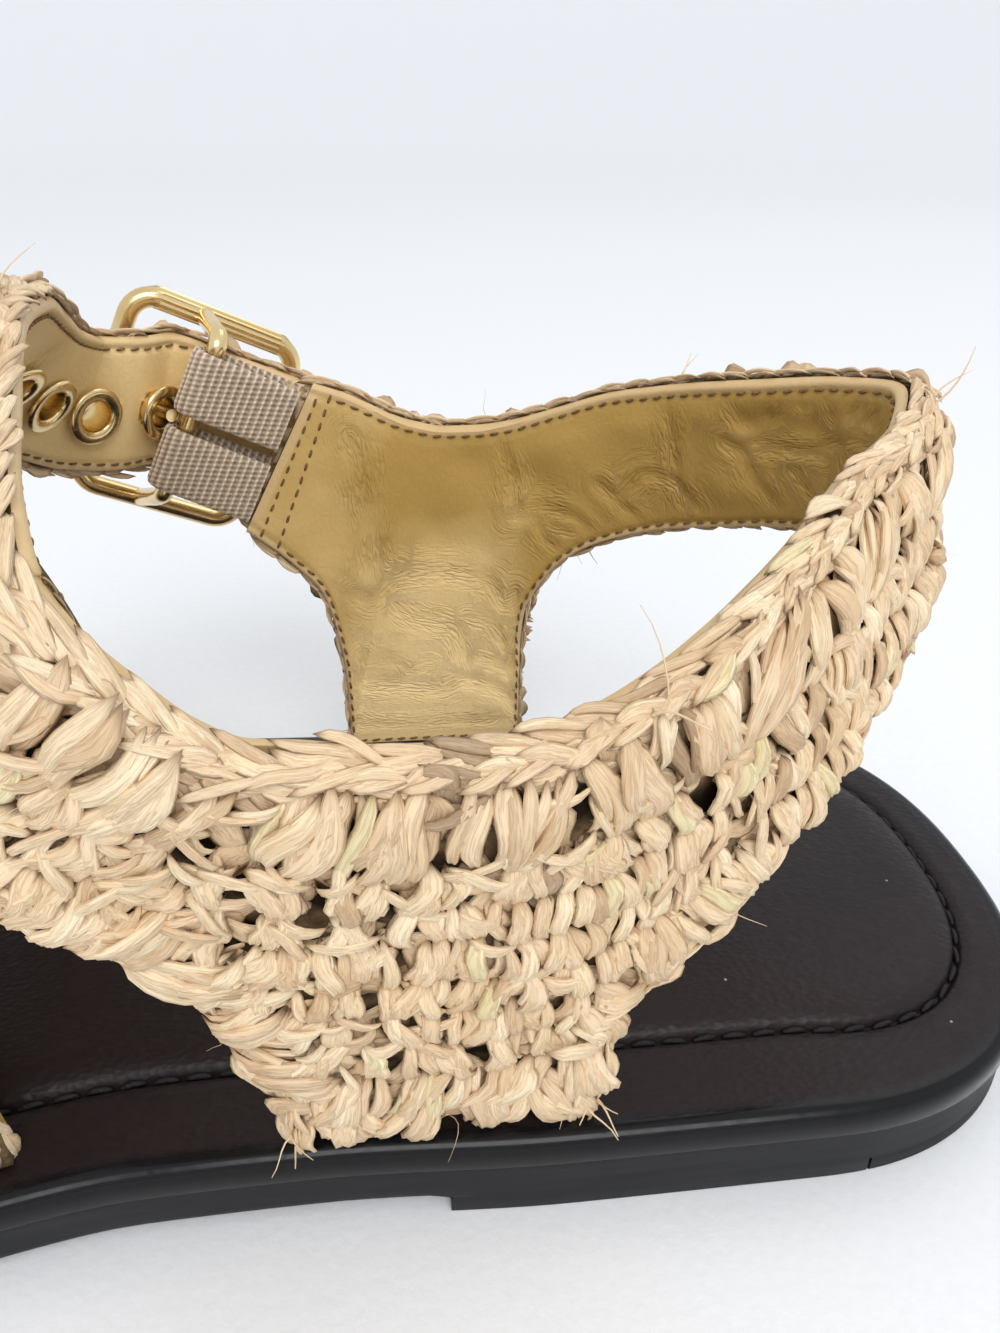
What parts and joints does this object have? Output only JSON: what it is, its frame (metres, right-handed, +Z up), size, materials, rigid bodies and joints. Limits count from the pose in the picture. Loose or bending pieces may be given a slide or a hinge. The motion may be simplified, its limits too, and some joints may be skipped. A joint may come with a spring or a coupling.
{
  "type": "fisherman sandal",
  "caption": "Right flat fisherman sandal: crocheted raffia heel band, front bands and centre bar, instep strap with a gold buckle on elastic, padded dark leather footbed on a thin sole.",
  "frame": {"origin": "on the floor under the heel, at the heel lift's resting face, on the sole's long axis", "axes": "+X from the heel to the toe, +Y to the inner side of the right foot, +Z up"},
  "size_m": [0.258, 0.0917, 0.0776],
  "materials": {
    "raffia": "matte crocheted raffia, lined",
    "tan_lining": "soft golden tan lining with a slight sheen",
    "espresso_leather": "fine-grained satin leather",
    "charcoal_sole": "matte, faint lines along the edge",
    "heel_rubber": "matte",
    "taupe_elastic": "ribbed elastic",
    "gold_metal": "polished pale gold"
  },
  "bodies": {
    "root": {"outsole": "charcoal_sole", "heel_lift": "charcoal_sole", "heel_tip": "heel_rubber", "footbed": "espresso_leather", "quarter_and_strap": "raffia", "vamp": "raffia", "elastic_lower": "taupe_elastic", "elastic_upper": "taupe_elastic", "buckle_frame": "gold_metal", "buckle_prong": "gold_metal", "eyelet_1": "gold_metal", "eyelet_2": "gold_metal", "eyelet_3": "gold_metal", "eyelet_4": "gold_metal"}
  },
  "joints": []
}
